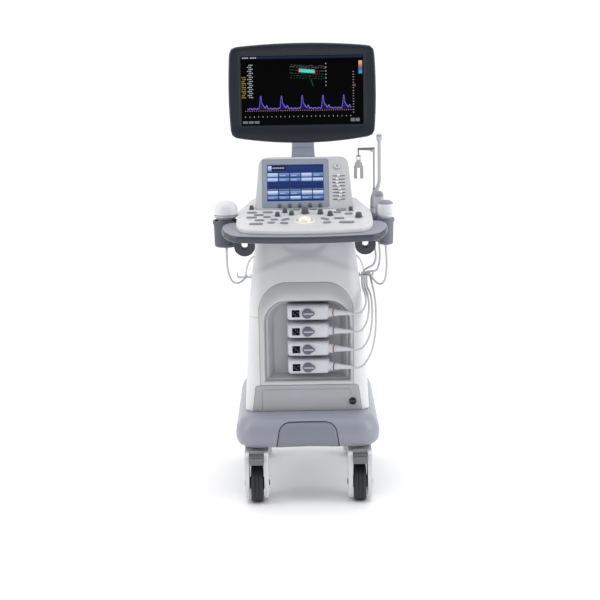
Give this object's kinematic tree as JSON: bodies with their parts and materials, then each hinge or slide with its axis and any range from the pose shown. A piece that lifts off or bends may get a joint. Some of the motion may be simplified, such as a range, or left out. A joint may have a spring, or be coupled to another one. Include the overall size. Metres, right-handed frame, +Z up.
{
  "type": "ultrasound machine",
  "caption": "Cart-mounted diagnostic ultrasound scanner with a tilting monitor, sloped console, touch panel, probe cups, stacked probe connectors and swivel casters.",
  "frame": {"origin": "on the floor, below the middle of the cart", "axes": "+Z up, the operator stands on the -Y side, +X to the right as seen from there"},
  "size_m": [0.597, 0.8022, 1.509],
  "materials": {
    "white_shell": "fine satin moulded texture",
    "grey_shell": "fine satin moulded texture",
    "blue_grey_shell": "satin moulded",
    "bay_shell": "satin moulded",
    "frame_steel": "powder coated",
    "sheet_metal": "brushed sheet",
    "caster_shell": "satin moulded",
    "wheel_core": "moulded",
    "tyre": "matt rubber",
    "pedal_grey": "ribbed moulded",
    "button_black": "satin",
    "plug_white": "satin moulded",
    "lock_grey": "satin moulded",
    "cable_grey": "satin cable jacket",
    "panel_white": "fine satin moulded texture",
    "display_bezel": "satin",
    "ball_ivory": "polished",
    "key_grey": "satin keys",
    "knob_dark": "soft grip",
    "slider_white": "satin",
    "button_steel": "satin ring",
    "cast_grey": "satin painted casting",
    "monitor_shell": "satin moulded",
    "monitor_frame": "semi-gloss",
    "screen": "coated glass face",
    "cup_dark": "satin moulded",
    "probe_white": "satin",
    "probe_grey": "satin",
    "pole_steel": "satin steel",
    "clip_grey": "satin",
    "hook_navy": "moulded"
  },
  "bodies": {
    "root": {"chassis_frame": "frame_steel", "base_cover": "blue_grey_shell", "kick_panel": "blue_grey_shell", "upper_cowl": "white_shell", "left_cover": "white_shell", "right_cover": "white_shell", "rear_cover": "white_shell", "lower_cover": "grey_shell", "connector_bay": "bay_shell", "card_cage": "sheet_metal", "power_supply": "sheet_metal", "probe_plugs": "plug_white", "cable_1": "cable_grey", "cable_2": "cable_grey", "cable_3": "cable_grey", "cable_4": "cable_grey", "console_tray": "blue_grey_shell", "control_panel": "panel_white", "touch_housing": "white_shell", "touch_display": "display_bezel", "encoders": "knob_dark", "monitor_post": "cast_grey", "probe_cups": "cup_dark", "cable_hooks": "hook_navy", "rear_handle": "blue_grey_shell"},
    "caster_fl": {"caster_fork_fl": "caster_shell"},
    "road_wheel_fl": {"wheel_fl": "wheel_core", "tyre_fl": "tyre"},
    "caster_fr": {"caster_fork_fr": "caster_shell"},
    "road_wheel_fr": {"wheel_fr": "wheel_core", "tyre_fr": "tyre"},
    "caster_rl": {"caster_fork_rl": "caster_shell"},
    "road_wheel_rl": {"wheel_rl": "wheel_core", "tyre_rl": "tyre"},
    "caster_rr": {"caster_fork_rr": "caster_shell"},
    "road_wheel_rr": {"wheel_rr": "wheel_core", "tyre_rr": "tyre"},
    "pedal_fl": {"brake_pedal_fl": "pedal_grey"},
    "pedal_fr": {"brake_pedal_fr": "pedal_grey"},
    "fan": {"fan_rotor": "wheel_core"},
    "power_key": {"power_button": "button_black"},
    "lock_1": {"plug_lock_1": "lock_grey"},
    "lock_2": {"plug_lock_2": "lock_grey"},
    "lock_3": {"plug_lock_3": "lock_grey"},
    "lock_4": {"plug_lock_4": "lock_grey"},
    "ball": {"trackball": "ball_ivory"},
    "keys": {"key_caps": "key_grey"},
    "gain": {"gain_dial": "knob_dark"},
    "gain_sliders": {"tgc_sliders": "slider_white"},
    "start_key": {"start_button": "button_steel"},
    "monitor_arm": {"monitor_yoke": "cast_grey"},
    "monitor": {"monitor_back": "monitor_shell", "monitor_bezel": "monitor_frame", "monitor_panel": "screen"},
    "hand_probe_1": {"probe_1": "probe_white"},
    "hand_probe_2": {"probe_2": "probe_grey"},
    "hand_probe_3": {"probe_3": "probe_white"},
    "hand_probe_4": {"probe_4": "probe_grey"},
    "hanger": {"hanger_pole": "pole_steel"},
    "clip": {"hanger_clip": "clip_grey"}
  },
  "joints": [
    {"name": "caster_swivel_fl", "type": "hinge", "parent": "root", "child": "caster_fl", "pos_m": [-0.172, -0.245, 0.19], "axis": [0, 0, 1], "continuous": true},
    {"name": "wheel_spin_fl", "type": "hinge", "parent": "caster_fl", "child": "road_wheel_fl", "pos_m": [-0.172, -0.27, 0.0625], "axis": [1, 0, 0], "continuous": true},
    {"name": "caster_swivel_fr", "type": "hinge", "parent": "root", "child": "caster_fr", "pos_m": [0.172, -0.245, 0.19], "axis": [0, 0, 1], "continuous": true},
    {"name": "wheel_spin_fr", "type": "hinge", "parent": "caster_fr", "child": "road_wheel_fr", "pos_m": [0.172, -0.27, 0.0625], "axis": [1, 0, 0], "continuous": true},
    {"name": "caster_swivel_rl", "type": "hinge", "parent": "root", "child": "caster_rl", "pos_m": [-0.172, 0.285, 0.19], "axis": [0, 0, 1], "continuous": true},
    {"name": "wheel_spin_rl", "type": "hinge", "parent": "caster_rl", "child": "road_wheel_rl", "pos_m": [-0.172, 0.26, 0.0625], "axis": [1, 0, 0], "continuous": true},
    {"name": "caster_swivel_rr", "type": "hinge", "parent": "root", "child": "caster_rr", "pos_m": [0.172, 0.285, 0.19], "axis": [0, 0, 1], "continuous": true},
    {"name": "wheel_spin_rr", "type": "hinge", "parent": "caster_rr", "child": "road_wheel_rr", "pos_m": [0.172, 0.26, 0.0625], "axis": [1, 0, 0], "continuous": true},
    {"name": "brake_press_fl", "type": "hinge", "parent": "caster_fl", "child": "pedal_fl", "pos_m": [-0.172, -0.307, 0.164], "axis": [1, 0, 0], "range_deg": [0, 14]},
    {"name": "brake_press_fr", "type": "hinge", "parent": "caster_fr", "child": "pedal_fr", "pos_m": [0.172, -0.307, 0.164], "axis": [1, 0, 0], "range_deg": [0, 14]},
    {"name": "fan_spin", "type": "hinge", "parent": "root", "child": "fan", "pos_m": [0, 0.11, 0.585], "axis": [0, 1, 0], "continuous": true},
    {"name": "power_press", "type": "slide", "parent": "root", "child": "power_key", "axis": [0, 1, 0], "range_m": [0, 0.002], "stiffness_N_per_m": 800, "springref_m": -0.001},
    {"name": "lock_turn_1", "type": "hinge", "parent": "root", "child": "lock_1", "pos_m": [0.004, -0.234, 0.631], "axis": [0, 1, 0], "range_deg": [-90, 0]},
    {"name": "lock_turn_2", "type": "hinge", "parent": "root", "child": "lock_2", "pos_m": [0.004, -0.234, 0.57], "axis": [0, 1, 0], "range_deg": [-90, 0]},
    {"name": "lock_turn_3", "type": "hinge", "parent": "root", "child": "lock_3", "pos_m": [0.004, -0.234, 0.509], "axis": [0, 1, 0], "range_deg": [-90, 0]},
    {"name": "lock_turn_4", "type": "hinge", "parent": "root", "child": "lock_4", "pos_m": [0.004, -0.234, 0.448], "axis": [0, 1, 0], "range_deg": [-90, 0]},
    {"name": "ball_roll", "type": "hinge", "parent": "root", "child": "ball", "pos_m": [0, -0.28002, 0.94022], "axis": [1, 0, 0], "continuous": true},
    {"name": "key_press", "type": "slide", "parent": "root", "child": "keys", "axis": [0, -0.1908, 0.9816], "range_m": [-0.0015, 0], "stiffness_N_per_m": 3000, "springref_m": 0.001},
    {"name": "gain_turn", "type": "hinge", "parent": "root", "child": "gain", "pos_m": [0.002, -0.2142, 0.9632], "axis": [0, -0.1908, 0.9816], "continuous": true},
    {"name": "tgc_slide", "type": "slide", "parent": "root", "child": "gain_sliders", "axis": [1, 0, 0], "range_m": [-0.008, 0.008]},
    {"name": "start_press", "type": "slide", "parent": "root", "child": "start_key", "axis": [0, -0.866, 0.5], "range_m": [-0.002, 0], "stiffness_N_per_m": 800, "springref_m": 0.001},
    {"name": "monitor_swivel", "type": "hinge", "parent": "root", "child": "monitor_arm", "pos_m": [0, 0.084, 1.12], "axis": [0, 0, 1], "range_deg": [-75, 75]},
    {"name": "monitor_tilt", "type": "hinge", "parent": "monitor_arm", "child": "monitor", "pos_m": [0, 0.062, 1.342], "axis": [1, 0, 0], "range_deg": [-25, 5]},
    {"name": "probe_lift_1", "type": "slide", "parent": "root", "child": "hand_probe_1", "axis": [0, 0, 1], "range_m": [0, 0.15]},
    {"name": "probe_lift_2", "type": "slide", "parent": "root", "child": "hand_probe_2", "axis": [0, 0, 1], "range_m": [0, 0.15]},
    {"name": "probe_lift_3", "type": "slide", "parent": "root", "child": "hand_probe_3", "axis": [0, 0, 1], "range_m": [0, 0.15]},
    {"name": "probe_lift_4", "type": "slide", "parent": "root", "child": "hand_probe_4", "axis": [0, 0, 1], "range_m": [0, 0.15]},
    {"name": "hanger_swing", "type": "hinge", "parent": "root", "child": "hanger", "pos_m": [0.238, -0.038, 1], "axis": [0, 0, 1], "range_deg": [-90, 20]},
    {"name": "clip_swing", "type": "hinge", "parent": "hanger", "child": "clip", "pos_m": [0.186, -0.038, 1.13], "axis": [1, 0, 0], "range_deg": [-45, 45]}
  ]
}
